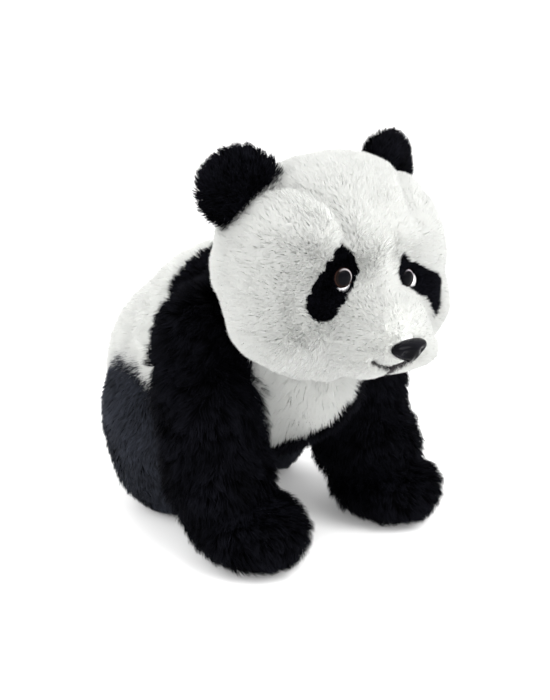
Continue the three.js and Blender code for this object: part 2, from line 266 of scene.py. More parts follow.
def gradient(level, points, step=0.5):
    slope = np.empty_like(points)
    for axis in range(3):
        shift = np.zeros(3)
        shift[axis] = step
        slope[:, axis] = (level(points + shift) - level(points - shift)) / (2 * step)
    return slope


def stuffed_skin(name, lumps, blend, voxel, relief):
    """A closed skin round lumps, pushed in and out by relief(points in mm), in mm."""
    bm = bmesh.new()
    for lump in lumps:
        ball = bmesh.ops.create_icosphere(bm, subdivisions=4, radius=1)
        bmesh.ops.transform(bm, matrix=lump.placed(), verts=ball["verts"])
    mesh = bpy.data.meshes.new(name)
    bm.to_mesh(mesh)
    bm.free()
    raw = bpy.data.objects.new(name, mesh)
    bpy.context.scene.collection.objects.link(raw)
    remesh = raw.modifiers.new("remesh", "REMESH")
    remesh.mode = "VOXEL"
    remesh.voxel_size = voxel
    graph = bpy.context.evaluated_depsgraph_get()
    done = bpy.data.meshes.new_from_object(raw.evaluated_get(graph))
    bpy.data.objects.remove(raw)
    level = joined_level(lumps, blend)
    points = mesh_points(done)
    for _ in range(6):  # Newton steps onto the level's zero
        slope = gradient(level, points)
        points -= level(points)[:, None] * slope / (slope ** 2).sum(axis=1, keepdims=True)
    if relief:
        slope = gradient(level, points)
        normals = slope / np.linalg.norm(slope, axis=1, keepdims=True)
        points += normals * relief(points)[:, None]
    done.vertices.foreach_set("co", (points * MM).ravel())
    done.polygons.foreach_set("use_smooth", [True] * len(done.polygons))
    done.update()
    done.name = name
    skin = bpy.data.objects.new(name, done)
    bpy.context.scene.collection.objects.link(skin)
    return skin


def mesh_points(mesh):
    points = np.empty(len(mesh.vertices) * 3)
    mesh.vertices.foreach_get("co", points)
    return points.reshape(-1, 3)


def bump_at(points, centre, radii):
    """1 at the centre, falling smoothly to nothing at about twice the radius or radii."""
    return np.exp(-(((points - np.array(centre, float)) / radii) ** 2).sum(axis=1))


def groove_at(points, line, radius):
    """1 along a polyline, falling smoothly to nothing at about twice the radius."""
    return np.exp(-(distance_to_line(points, line) / radius) ** 2)


def distance_to_line(points, line):
    """Distance of each point to a polyline."""
    best = np.full(len(points), np.inf)
    for a, b in zip(line[:-1], line[1:]):
        a, b = np.array(a, float), np.array(b, float)
        share = np.clip(((points - a) @ (b - a)) / ((b - a) @ (b - a)), 0, 1)
        best = np.minimum(best, np.linalg.norm(points - a - share[:, None] * (b - a), axis=1))
    return best


def ripple(points, wavelength, seed):
    """Smooth noise between about -1 and 1, as a sum of waves in seeded directions."""
    rng = np.random.default_rng(seed)
    total = np.zeros(len(points))
    for _ in range(6):
        way = rng.normal(size=3)
        way /= np.linalg.norm(way)
        turns = 2 * math.pi / (wavelength * rng.uniform(0.7, 1.4))
        total += np.sin(points @ way * turns + rng.uniform(0, 2 * math.pi))
    return total / 2.5


# ---------------------------------------------------------------- fur
def sample_skin(skin, density, rng):
    """Roots spread evenly over a skin, in mm, with its smooth normals. density is per square mm."""
    mesh = skin.data
    mesh.calc_loop_triangles()
    corners = np.empty(len(mesh.loop_triangles) * 3, int)
    mesh.loop_triangles.foreach_get("vertices", corners)
    corners = corners.reshape(-1, 3)
    points = mesh_points(mesh) / MM
    normals = np.empty(len(mesh.vertices) * 3)
    mesh.vertex_normals.foreach_get("vector", normals)
    normals = normals.reshape(-1, 3)
    a, b, c = (points[corners[:, i]] for i in range(3))
    area = np.linalg.norm(np.cross(b - a, c - a), axis=1) / 2
    count = int(area.sum() * density)
    chosen = np.searchsorted(np.cumsum(area), rng.uniform(0, area.sum(), count))
    chosen = np.minimum(chosen, len(area) - 1)
    first, second = rng.random(count), rng.random(count)
    folded = first + second > 1
    first[folded], second[folded] = 1 - first[folded], 1 - second[folded]
    weights = np.stack([1 - first - second, first, second], axis=1)[:, :, None]
    roots = (points[corners[chosen]] * weights).sum(axis=1)
    ups = (normals[corners[chosen]] * weights).sum(axis=1)
    return roots, ups / np.linalg.norm(ups, axis=1, keepdims=True)


def unit(vectors):
    return vectors / (np.linalg.norm(vectors, axis=-1, keepdims=True) + 1e-9)


LEAST_HEIGHT = 0.4  # of a strand above the floor, in mm
SWIRL, SWIRL_SIZE = 0.35, 45  # how far areas of fur turn, in radians, and their size in mm
LENGTH_WAVE, LENGTH_SIZE = 0.12, 25  # share by which areas differ in length, and their size in mm
LEAN_JITTER = 8  # degrees by which a strand's lean differs from its neighbours'
TWIST = 0.45  # how far a strand's face turns away from the skin's normal
TAPER = 1.6  # a strand keeps its width near the root and narrows to a point


class Coat:
    """How one kind of fur grows. Lengths in mm, angles in degrees away from the skin's normal."""

    def __init__(self, length, width, density, lean=(30, 68), segments=3, clump=7.0, gather=0.45,
                 stray=0.35, uneven=0.25, even_shade=0.75):
        self.length, self.width, self.density = length, width, density
        self.lean = [math.radians(a) for a in lean]
        self.segments = segments
        self.clump, self.gather = clump, gather
        self.stray, self.uneven = stray, uneven
        self.even_shade = even_shade  # share of the skin's normal in a strand's own


def grow(skin, coat, comb, seed, keep=None, scale=None):
    """Strand points (strands, segments + 1, 3) in mm, their skin normals and their tones."""
    rng = np.random.default_rng(seed)
    roots, ups = sample_skin(skin, coat.density * STRAND_SHARE, rng)
    if keep is not None:
        wanted = keep(roots)
        roots, ups = roots[wanted], ups[wanted]
    count = len(roots)
    flow = unit(comb(roots, ups))
    side = np.cross(ups, flow)
    swirl = SWIRL * ripple(roots, SWIRL_SIZE, seed + 1) + coat.stray * rng.normal(size=count)
    flow = flow * np.cos(swirl)[:, None] + side * np.sin(swirl)[:, None]
    flow = unit(flow - ups * (flow * ups).sum(axis=1, keepdims=True))
    unevenness = coat.uneven * rng.uniform(-1, 1, count)
    wave = LENGTH_WAVE * ripple(roots, LENGTH_SIZE, seed + 2)
    length = coat.length * (1 + unevenness + wave)
    if scale is not None:
        length *= scale(roots)
    jitter = np.radians(rng.normal(0, LEAN_JITTER, count))
    points = np.empty((count, coat.segments + 1, 3))
    points[:, 0] = roots
    for step in range(coat.segments):
        share = (step + 0.5) / coat.segments
        angle = coat.lean[0] + (coat.lean[1] - coat.lean[0]) * share + jitter
        way = ups * np.cos(angle)[:, None] + flow * np.sin(angle)[:, None]
        points[:, step + 1] = points[:, step] + way * (length / coat.segments)[:, None]
    gather_clumps(points, coat, rng)
    points[:, :, 2] = np.maximum(points[:, :, 2], LEAST_HEIGHT)
    # From 0 to 1: areas lean to one tone, and each strand has its own.
    tone = 0.5 + 0.18 * ripple(roots, 30, seed + 3) + 0.22 * rng.normal(size=count)
    return points, ups, tone


def gather_clumps(points, coat, rng):
    """Draws the tips of neighbouring strands together, as fur clings in locks."""
    roots = points[:, 0]
    count = max(1, int(len(roots) / (coat.density * STRAND_SHARE * coat.clump ** 2)))
    leaders = rng.choice(len(roots), min(count, len(roots)), replace=False)
    tree = KDTree(len(leaders))
    for place, leader in enumerate(leaders):
        tree.insert(roots[leader], place)
    tree.balance()
    nearest = np.array([tree.find(root)[1] for root in roots])
    hold = coat.gather * rng.uniform(0.4, 1.3, len(leaders))[nearest]  # tighter in some locks
    lead = points[leaders][nearest]
    for step in range(1, points.shape[1]):
        share = (hold * (step / (points.shape[1] - 1)) ** 1.4)[:, None]
        points[:, step] += (lead[:, step] - points[:, step]) * share


MAX_STRANDS = 38000  # in one piece, which keeps each under 200,000 triangles


def strand_object(name, points, ups, tone, width, even_shade, material, rng):
    """One mesh of flat tapering strands whose faces look out from the skin."""
    count, rings, _ = points.shape
    facing = unit(ups + TWIST * rng.normal(size=ups.shape))
    ways = np.empty((count, rings - 1, 3))
    ways[:, 0] = points[:, 1] - points[:, 0]
    if rings > 2:
        ways[:, 1:] = points[:, 2:] - points[:, :-2]
    across = unit(np.cross(ways, facing[:, None, :]))
    widths = width * (1 - (np.arange(rings - 1) / (rings - 1)) ** TAPER)
    half = across * (widths / 2)[None, :, None]
    per = 2 * (rings - 1) + 1
    verts = np.empty((count, per, 3))
    verts[:, 0:per - 1:2] = points[:, :-1] - half
    verts[:, 1:per - 1:2] = points[:, :-1] + half
    verts[:, -1] = points[:, -1]
    pattern, uvs, sizes = [], [], []
    for ring in range(rings - 2):
        low, high = ring / (rings - 1), (ring + 1) / (rings - 1)
        pattern += [2 * ring, 2 * ring + 1, 2 * ring + 3, 2 * ring + 2]
        uvs += [(0, low), (1, low), (1, high), (0, high)]
        sizes.append(4)
    pattern += [per - 3, per - 2, per - 1]
    uvs += [(0, (rings - 2) / (rings - 1)), (1, (rings - 2) / (rings - 1)), (0.5, 1)]
    sizes.append(3)
    corners = (np.arange(count)[:, None] * per + np.array(pattern)[None, :]).ravel()
    mesh = bpy.data.meshes.new(name)
    mesh.vertices.add(count * per)
    mesh.vertices.foreach_set("co", (verts * MM).ravel())
    mesh.loops.add(len(corners))
    mesh.loops.foreach_set("vertex_index", corners)
    totals = np.tile(sizes, count)
    mesh.polygons.add(len(totals))
    mesh.polygons.foreach_set("loop_start", np.concatenate([[0], np.cumsum(totals)[:-1]]))
    mesh.polygons.foreach_set("loop_total", totals)
    mesh.polygons.foreach_set("use_smooth", np.ones(len(totals), bool))
    layer = mesh.uv_layers.new(name=UV_LAYER)
    column = np.clip((tone * TONES).astype(int), 0, TONES - 1)
    spots = np.tile(np.array(uvs, float)[None], (count, 1, 1))
    # Each tone has a column of the UV square, and a strand keeps a margin inside it.
    spots[:, :, 0] = (column[:, None] + 0.1 + 0.8 * spots[:, :, 0]) / TONES
    spots[:, :, 1] = 0.02 + 0.96 * spots[:, :, 1]
    layer.data.foreach_set("uv", spots.ravel())
    mesh.update(calc_edges=True)
    mesh.validate()
    mesh.materials.append(material)
    own = np.repeat(unit(np.cross(across[:, :1], ways[:, :1])), per, axis=1)
    normals = unit(even_shade * np.repeat(ups[:, None, :], per, axis=1) + (1 - even_shade) * own)
    mesh.normals_split_custom_set_from_vertices(normals.reshape(-1, 3))
    fur = bpy.data.objects.new(name, mesh)
    bpy.context.scene.collection.objects.link(fur)
    return fur


def add_fur(name, skin, body, material, coat, comb, seed, keep=None, scale=None):
    """Fur on a skin, in as many pieces as its size asks for. Returns the pieces."""
    made = []
    points, ups, tone = grow(skin, coat, comb, seed, keep, scale)
    rng = np.random.default_rng(seed + 9)
    width = coat.width * STRAND_WIDENING
    pieces = max(1, math.ceil(len(points) / MAX_STRANDS))
    order = np.argsort(points[:, 0, 2])
    for number, part in enumerate(np.array_split(order, pieces)):
        label = name if pieces == 1 else f"{name}_{number + 1}"
        fur = strand_object(
            label, points[part], ups[part], tone[part], width, coat.even_shade, material, rng)
        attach(fur, body)
        made.append(fur)
    return made


add_camera()
add_studio()
SIDES = (("left", 1), ("right", -1))

# ---------------------------------------------------------------- fur colours
WHITE_FUR = fur_material(
    "white_fur", (0.94, 0.945, 0.93), (0.945, 0.95, 0.935), (0.95, 0.955, 0.94), 0.01, glow=0.68)
# Black fur: the darker roots are painted shade, and the light bluish tips are a painted sheen.
BLACK_FUR = fur_material(
    "black_fur", (0.0003, 0.0003, 0.0005), (0.001, 0.001, 0.0016), (0.006, 0.0062, 0.009), 0.8,
    gloss=0.012)
THREAD_FUR = fur_material(
    "mouth_thread_fibre", (0.01, 0.009, 0.01), (0.04, 0.036, 0.038), (0.12, 0.11, 0.115), 0.4)
# Hind legs' fur: the darker roots are painted shade, and the bluish tips are a painted sheen.
HIND_FUR = fur_material(
    "hind_fur", (0.004, 0.0045, 0.006), (0.012, 0.0135, 0.019), (0.032, 0.036, 0.050), 0.45)
WHITE_BACKING = cloth_material("white_backing", (0.86, 0.865, 0.84), (0.93, 0.935, 0.915))
BLACK_BACKING = cloth_material(
    "black_backing", (0.001, 0.001, 0.001), (0.003, 0.003, 0.004), sheen=0.0, gloss=0.02)

# ---------------------------------------------------------------- shapes, in mm, as in the frame
LONG, SHORT, PLUSH = 13, 6, 5.5  # how far the skins lie under the outside of the fur
HEAD = Lump((0, -98, 270), (115, 75, 101), PLUSH, square=2.5)
MUZZLE = Lump((-1, -149, 224), (52, 50, 42), PLUSH, tilt=15, square=2.6)
LIP = Lump((27, -173, 206), (26, 24, 18), PLUSH)
CHEEKS = {
    "left": Lump((69, -112, 227), (50, 46, 44), PLUSH),
    "right": Lump((-70, -112, 238), (50, 46, 42), PLUSH),
}
CHEST = Lump((0, -16, 172), (92, 66, 100), PLUSH)
THROAT = Lump((8, -48, 168), (55, 62, 75), PLUSH)
RUMP = Lump((0, 86, 133), (100, 97, 98), PLUSH)
BACK = Lump((0, 42, 173), (96, 92, 93), PLUSH)
SHOULDER = Lump((76, -15, 190), (56, 54, 62), LONG)
ARMS = {  # from the shoulder down
    "left": [
        Lump((89, -30, 152), (55, 55, 54), LONG),
        Lump((90, -38, 108), (57, 51, 92), LONG, tilt=-6),
        Lump((91, -60, 68), (51, 56, 50), LONG),
    ],
    "right": [
        Lump((-90, -31, 153), (51, 55, 54), LONG),
        Lump((-88, -38, 112), (53, 52, 92), LONG, tilt=-6),
        Lump((-91, -52, 74), (51, 53, 54), LONG),
    ],
}
PAWS = {
    "left": Lump((89, -85, 30), (55, 62, 38), LONG),
    "right": Lump((-81, -80, 34), (55, 65, 41), LONG),
}
THIGHS = {
    "left": Lump((76, 86, 83), (42, 54, 80), SHORT, tilt=-10),
    "right": Lump((-76, 80, 86), (42, 56, 84), SHORT, tilt=-10),
}
FEET = {
    "left": Lump((80, 88, 29), (33, 42, 32), SHORT),
    "right": Lump((-62, 58, 30), (36, 50, 34), SHORT),
}
TAIL = Lump((0, 181, 96), (25, 22, 30), PLUSH, tilt=20)
EARS = {
    "left": Lump((84.5, -78, 343), (41.5, 16, 36), SHORT, yaw=17),
    "right": Lump((-87, -78, 347), (39.5, 16, 37), SHORT, yaw=-17),
}
EYE_CENTRES = {"left": (34, -156, 265), "right": (-41.5, -156, 278.5)}
NOSE_CENTRE = np.array((2, -195, 216), float)


def add_skin(name, body, lumps, blend, material, replaced, relief=None, black=None,
             voxel=3.5):
    """A skin of one cloth, or of white cloth with black cloth where black(points in mm) holds."""
    skin = stuffed_skin(name, lumps, blend, voxel, relief)
    skin.data.materials.append(material)
    if black:
        skin.data.materials.append(BLACK_BACKING)
        centres = np.empty(len(skin.data.polygons) * 3)
        skin.data.polygons.foreach_get("center", centres)
        dark = black(centres.reshape(-1, 3) / MM)
        skin.data.polygons.foreach_set("material_index", dark.astype(np.int32))
    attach(skin, body)
    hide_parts(*replaced)
    return skin


# ---------------------------------------------------------------- head
# The head leans a little to the panda's left, so what is on that side sits lower and more aslant.
HEAD_TILT = math.radians(8)
EYE_PATCHES = {  # outlines seen from the front: outwards from the eye, and up
    "right": [
        (0, 30), (-7, 23), (-14, 12), (-17, 0), (-14, -9), (-8, -13), (-2, -18), (6, -23),
        (14, -28), (20, -32), (28, -31), (35, -25), (38, -17), (37, -11), (34, -4), (31, 1),
        (29, 4), (23, 9), (18, 13), (15, 19), (10, 21), (5, 25)],
    "left": [
        (-10, 27), (-4, 20), (5, 14), (14, 8), (26, -1), (34, -7), (41, -17), (45, -30), (44, -40),
        (38, -47), (30, -45), (22, -36), (15, -27), (6, -17), (-3, -10), (-12, -4), (-18, 3),
        (-21, 9), (-17, 14), (-14, 19), (-13, 25)],
}
# Creases and seams. The temple's and the cheek's are the left side's, mirrored on the right.
TEMPLE_CREASE = [
    (62, -104, 347), (54, -122, 344), (46, -136, 339), (42, -147, 330), (42, -158, 314)]
CHEEK_CREASE = [(84, -148, 262), (88, -152, 246), (84, -154, 234), (77, -158, 222)]
FURROW = [(8, -158, 306), (7, -165, 284)]
LIP_SEAM = [(9, 0, 206), (3, 0, 200), (-1, 0, 197.5), (-2.5, 0, 194), (-2, 0, 189)]
SMILE = [(-29, 0, 209.5), (-21, 0, 204.5), (-11, 0, 200.6), (-1, 0, 198), (8, 0, 199)]
MOUTH_BACK, PATCH_BACK, FACE_BACK = -150, -100, -120  # each lies in front of its place along Y


def from_mouth(points, line):
    """Distance to a line of the mouth as seen from the front, and large elsewhere on the head."""
    seen = points * np.array([1, 0, 1])
    return distance_to_line(seen, line) + 100 * (points[:, 1] > MOUTH_BACK)


BRIDGE_DIP = (0, -165, 276), (62, 40, 20)  # centre and radii of each rise and dip
BRIDGE_RIDGE = (0, -168, 268), (13, 40, 34)
CHEEK_BACK = (99, -64, 240), (36, 44, 40)
JAW_BACK = (90, -72, 214), (30, 36, 18)
RIGHT_TEMPLE = (-79, -126, 316), 27
LEFT_SOCKET = (42, -154, 262), 12


def head_relief(points):
    """How far the head's skin stands out (+) or is drawn in (-) from its lumps."""
    relief = -5 * bump_at(points, *BRIDGE_DIP)
    relief += 4 * bump_at(points, *BRIDGE_RIDGE)
    for label, side in SIDES:
        x, y, z = EYE_CENTRES[label]
        relief -= 8 * bump_at(points, (x, y, z - 3), 17)  # the eye's socket
        relief += 6 * bump_at(points, (42 * side, -150, z + 41), (28, 32, 13))  # the brow over it
        mirrored = points * np.array([side, 1, 1])
        relief -= 7.5 * groove_at(mirrored, TEMPLE_CREASE, 10)
        relief -= 7.5 * bump_at(mirrored, *CHEEK_BACK)
        relief -= 4.5 * bump_at(mirrored, *JAW_BACK)
        relief -= 3.5 * groove_at(mirrored, CHEEK_CREASE, 8)
    relief += 7 * bump_at(points, *RIGHT_TEMPLE)
    relief -= 4 * bump_at(points, *LEFT_SOCKET)
    relief -= 3 * groove_at(points, FURROW, 8)
    for line in (LIP_SEAM, SMILE):
        relief -= 3 * np.exp(-(from_mouth(points, line) / 4) ** 2)
    return relief


def inside_outline(across, up, outline):
    """Even-odd test of points against a closed outline."""
    inside = np.zeros(len(across), bool)
    for (x1, y1), (x2, y2) in zip(outline, outline[1:] + outline[:1]):
        spans = (y1 > up) != (y2 > up)
        inside ^= spans & (across < (x2 - x1) * (up - y1) / (y2 - y1 + 1e-9) + x1)
    return inside


def in_eye_patch(points):
    """Whether the cloth is black: inside an eye patch's outline, its edge a little ragged."""
    inside = np.zeros(len(points), bool)
    wave = 0.7 * ripple(points, 8, 5)
    for label, side in SIDES:
        x, y, z = EYE_CENTRES[label]
        out, up = (points[:, 0] - x) * side + wave, points[:, 2] - z + wave
        cos, sin = math.cos(HEAD_TILT * side), math.sin(HEAD_TILT * side)
        inside |= inside_outline(out * cos + up * sin, up * cos - out * sin, EYE_PATCHES[label])
    return inside & (points[:, 1] < PATCH_BACK)


def head_comb(points, ups):
    """Fur lies away from the nose all round, and a little down."""
    away = points - NOSE_CENTRE
    away[:, 2] *= 0.8
    return away + np.array([0, 0, -0.15]) * np.linalg.norm(away, axis=1, keepdims=True)


head = add_skin(
    "head_skin", "head", [HEAD, MUZZLE, LIP, *CHEEKS.values()], 6, WHITE_BACKING,
    ["head_gusset", "head_side_panel_left", "head_side_panel_right", "muzzle_panel", "head_fill",
     "eye_patch_left", "eye_patch_right"],
    head_relief, black=in_eye_patch, voxel=2.5)


WHITE_LIFTS = {"left": 1.2, "right": -0.2}  # how far each eye's white stands forward
WHITE_OFFSETS = {"left": (6.5, 4.2), "right": (0.8, 6.4)}  # of each white: along +X, and down
SEAM_WIDTH, SMILE_WIDTH = 3, 1.1  # half the thread's, below the nose and along the smile
NOSE_GAP, EYE_GAP, WHITE_GAP = 11, 9, 6.5  # radii without fur under the nose, eyes and whites


def clear_of_eyes(points):
    """Where fur may grow: not under the nose, the eyes and their whites or the thread below it."""
    clear = np.linalg.norm(points - NOSE_CENTRE, axis=1) > NOSE_GAP
    clear &= from_mouth(points, LIP_SEAM) > SEAM_WIDTH
    behind = points[:, 1] > FACE_BACK
    for label, (x, y, z) in EYE_CENTRES.items():
        out, down = WHITE_OFFSETS[label]
        across, up = points[:, 0] - x, points[:, 2] - z
        clear &= behind | (np.hypot(across, up) > EYE_GAP)
        clear &= behind | (np.hypot(across - out, up + down) > WHITE_GAP)
    return clear


def face_length(points):
    """Fur grows shorter on the muzzle, round the eyes and at the nose, and longer on the back."""
    share = 1 - 0.45 * np.clip(1.5 * bump_at(points, (0, -185, 215), 45), 0, 1)
    for centre in EYE_CENTRES.values():
        share *= 1 - 0.5 * bump_at(points, centre, 17)
    share *= 1 + 0.3 * np.clip((points[:, 1] + 100) / 30, 0, 1)
    return share * (1 - 0.5 * bump_at(points, NOSE_CENTRE, 20))


FACE_COAT = Coat(8.5, 0.95, 2.35, lean=(22, 56), segments=2, clump=4, gather=0.0, stray=0.12,
                 uneven=0.06, even_shade=0.94)
PATCH_COAT = Coat(7, 0.6, 2.6, lean=(25, 60), segments=2, clump=4, gather=0.2)
THREAD_COAT = Coat(6.5, 0.45, 3.5, lean=(15, 55), segments=2, clump=3, gather=0.3, stray=0.8)
add_fur("head_fur", head, "head", WHITE_FUR, FACE_COAT, head_comb, 11,
        keep=lambda p: ~in_eye_patch(p) & clear_of_eyes(p), scale=face_length)
add_fur("eye_patch_fur", head, "head", BLACK_FUR, PATCH_COAT, head_comb, 12,
        keep=lambda p: in_eye_patch(p) & clear_of_eyes(p), scale=face_length)


def on_mouth(points):
    """The brushed thread of the mouth: thick below the nose, thin towards the corners."""
    below_nose = from_mouth(points, LIP_SEAM) < SEAM_WIDTH
    return below_nose | (from_mouth(points, SMILE) < SMILE_WIDTH)


mouth = add_fur("mouth_stitch", head, "head", THREAD_FUR, THREAD_COAT,
                head_comb, 13, keep=on_mouth)
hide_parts("mouth_thread")


# ---------------------------------------------------------------- eyes
def turned_shape(name, profile):
    """A solid of revolution about local Z from (radius, height) points in mm, ends on the axis."""
    around = 48  # points round each ring
    bm = bmesh.new()
    rings = []
    for radius, height in profile:
        if radius == 0:
            rings.append([bm.verts.new((0, 0, height * MM))])
            continue
        rings.append([
            bm.verts.new((radius * math.cos(a) * MM, radius * math.sin(a) * MM, height * MM))
            for a in (2 * math.pi * i / around for i in range(around))])
    for low, high in zip(rings[:-1], rings[1:]):
        for i in range(around):
            j = (i + 1) % around
            corners = [
                low[i % len(low)], low[j % len(low)], high[j % len(high)], high[i % len(high)]]
            bm.faces.new(list(dict.fromkeys(corners)))
    bmesh.ops.recalc_face_normals(bm, faces=bm.faces)
    mesh = bpy.data.meshes.new(name)
    bm.to_mesh(mesh)
    bm.free()
    mesh.polygons.foreach_set("use_smooth", [True] * len(mesh.polygons))
    shape = bpy.data.objects.new(name, mesh)
    bpy.context.scene.collection.objects.link(shape)
    return shape


def domed(radius, bulge, rim):
    """Profile of a domed button: flat back, rounded rim, low dome."""
    arc = [(radius * math.cos(a), bulge * math.sin(a)) for a in np.linspace(0, math.pi / 2, 12)]
    return [(0, -rim), (radius * 0.9, -rim), (radius, -rim * 0.5)] + arc[:-1] + [(0, bulge)]


EYE_RADIUS = 10
EYE_BUTTON = EYE_RADIUS, 7, 2.5  # radius, bulge and rim
WHITE_BUTTON = 8, 3.5, 2.0


def eye_material(name, pupil, highlight_tone):
    """A black pupil round `pupil` (mm), a thin ring, a brown ring and a black rim.

    The thin ring is printed. Towards the panda's upper left it carries a painted highlight in the
    given pale tone, and it is dark on the other side.
    """
    material, nodes, links, shader = new_material(name, (0.01, 0.006, 0.005), 0.08)
    shader.inputs["Specular IOR Level"].default_value = 0.03
    place = nodes.new("ShaderNodeTexCoord")
    split = nodes.new("ShaderNodeSeparateXYZ")
    links.new(place.outputs["Object"], split.inputs["Vector"])
    flat = nodes.new("ShaderNodeCombineXYZ")
    links.new(split.outputs["X"], flat.inputs["X"])
    links.new(split.outputs["Y"], flat.inputs["Y"])
    from_pupil = nodes.new("ShaderNodeVectorMath")
    from_pupil.operation = "SUBTRACT"
    from_pupil.inputs[1].default_value = (pupil[0] * MM, pupil[1] * MM, 0)
    links.new(flat.outputs["Vector"], from_pupil.inputs[0])
    size = nodes.new("ShaderNodeVectorMath")
    size.operation = "LENGTH"
    links.new(from_pupil.outputs["Vector"], size.inputs[0])
    reach = nodes.new("ShaderNodeMapRange")
    reach.inputs["From Max"].default_value = EYE_RADIUS * MM
    links.new(size.outputs["Value"], reach.inputs["Value"])
    # Painted highlight: the thin ring is lighter on the side that this dot product faces.
    highlight_side = nodes.new("ShaderNodeVectorMath")
    highlight_side.operation = "DOT_PRODUCT"
    highlight_side.inputs[1].default_value = (0.75, 0.66, 0)
    links.new(from_pupil.outputs["Vector"], highlight_side.inputs[0])
    share = nodes.new("ShaderNodeMapRange")
    share.inputs["From Max"].default_value = 0.006
    links.new(highlight_side.outputs["Value"], share.inputs["Value"])
    black, brown, dark = (0.003, 0.003, 0.004), (0.032, 0.015, 0.012), (0.007, 0.005, 0.004)
    both = nodes.new("ShaderNodeMix")
    both.data_type = "RGBA"
    # Ring A is the dark side; ring B, in the pale tone, is the painted highlight.
    for socket, ring, start in ((6, dark, 0.68), (7, highlight_tone, 0.69)):  # the Mix node's sockets A and B
        rings = nodes.new("ShaderNodeValToRGB")
        stops = [  # share of the radius, and tone
            (0, black), (0.60, black), (0.63, (0.012, 0.006, 0.005)), (start, ring),
            (0.76, ring), (0.79, brown), (0.85, brown), (0.89, black)]
        ramp = rings.color_ramp
        ramp.elements[0].position, ramp.elements[0].color = stops[0][0], (*stops[0][1], 1)
        ramp.elements[1].position, ramp.elements[1].color = stops[-1][0], (*stops[-1][1], 1)
        for position, colour in stops[1:-1]:
            ramp.elements.new(position).color = (*colour, 1)
        links.new(reach.outputs["Result"], rings.inputs["Fac"])
        links.new(rings.outputs["Color"], both.inputs[socket])
    links.new(share.outputs["Result"], both.inputs["Factor"])
    links.new(both.outputs[2], shader.inputs["Base Color"])
    return material


# Printed pupils and rings, each with a painted highlight on its thin ring.
EYE_PRINTS_AND_HIGHLIGHTS = {
    "left": eye_material("eye_print_and_highlight_left", (-1.6, 0.2), (0.42, 0.39, 0.43)),
    "right": eye_material("eye_print_and_highlight_right", (0.6, 0.0), (0.42, 0.39, 0.40)),
}
EYE_WHITE = plastic_material("eye_white", (0.78, 0.76, 0.78), (0.85, 0.84, 0.86), 0.15, coat=1.0)
NOSE_PLASTIC = plastic_material("nose_plastic", (0.001, 0.001, 0.0015), (0.004, 0.004, 0.006), 0.16)
NOSE_PLASTIC.node_tree.nodes["Principled BSDF"].inputs["Specular IOR Level"].default_value = 0.05
EYE_YAWS, EYE_LIFT = {"left": 8, "right": -16}, 4
for label, side in SIDES:
    turn = Matrix.Rotation(math.radians(EYE_YAWS[label]), 4, "Z") @ Matrix.Rotation(
        math.radians(90 - EYE_LIFT), 4, "X")
    at_eye = Matrix.Translation(Vector(EYE_CENTRES[label]) * MM) @ turn
    dome = turned_shape(f"eye_button_{label}", domed(*EYE_BUTTON))
    dome.matrix_world = at_eye
    dome.data.materials.append(EYE_PRINTS_AND_HIGHLIGHTS[label])
    out, down = WHITE_OFFSETS[label]
    white = turned_shape(f"eye_white_{label}", domed(*WHITE_BUTTON))
    white.matrix_world = at_eye @ Matrix.Translation(Vector((out, -down, WHITE_LIFTS[label])) * MM)
    white.data.materials.append(EYE_WHITE)
    for piece, slot in ((dome, "clear_plastic"), (white, "iris_plastic")):
        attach(piece, "head")
    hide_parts(f"eye_dome_{label}")
    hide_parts(f"eye_iris_{label}")


# ---------------------------------------------------------------- nose
def nose_points(points):
    """A soft triangle from the unit sphere: wide on top, drawn in below, with nostril dents.

    It is about 19 mm to each side, 10 mm deep each way, 8 mm up and 10 to 12 mm down.
    """
    x, y, z = points.T
    wide = 1 + 0.3 * z
    below = z * (9.6 + 2.4 * np.exp(-(x / 0.3) ** 2))  # the point in the middle hangs lower
    shaped = np.stack([x * 19 * wide, y * 10, np.where(z > 0, z * 8.2, below)], axis=1)
    for side in (1, -1):
        nostril = bump_at(shaped, (9.5 * side, -9, -1.5), (4.2, 6, 3.2))
        shaped[:, 1] += 3 * nostril
    cleft = np.exp(-(x / 0.12) ** 2) * np.clip(-z, 0, 1)
    shaped[:, 1] += 1.6 * cleft
    return shaped


def ball_object(name, shape):
    """A smooth closed piece: shape() moves the points of a unit sphere to places in mm."""
    bm = bmesh.new()
    bmesh.ops.create_icosphere(bm, subdivisions=5, radius=1)
    mesh = bpy.data.meshes.new(name)
    bm.to_mesh(mesh)
    bm.free()
    mesh.vertices.foreach_set("co", (shape(mesh_points(mesh)) * MM).ravel())
    mesh.polygons.foreach_set("use_smooth", [True] * len(mesh.polygons))
    ball = bpy.data.objects.new(name, mesh)
    bpy.context.scene.collection.objects.link(ball)
    return ball


nose = ball_object("nose_button", lambda p: nose_points(p) + NOSE_CENTRE)
nose.data.materials.append(NOSE_PLASTIC)
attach(nose, "head")
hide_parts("nose")

# ---------------------------------------------------------------- ears
EAR_ROOT = (62, -78, 299)  # of the left ear: the fur flows away from it
EAR_COAT = Coat(11, 0.8, 1.3, lean=(25, 60), clump=5, gather=0.35)
for label, side in SIDES:
    ear = add_skin(f"ear_skin_{label}", f"ear_{label}", [EARS[label]], 3, BLACK_BACKING,
                   [f"ear_front_panel_{label}", f"ear_back_panel_{label}"])
    root = np.array(EAR_ROOT, float) * (side, 1, 1)
    add_fur(f"ear_fur_{label}", ear, f"ear_{label}", BLACK_FUR, EAR_COAT,
            lambda p, n, root=root: p - root, 21 + side)

# ---------------------------------------------------------------- torso
CHEST_BACK, CHEST_SIDE = -43, 60  # the bib ends at these along Y and X
BAND_BACK = 35  # rear edge of the shoulder band, further back over the shoulders


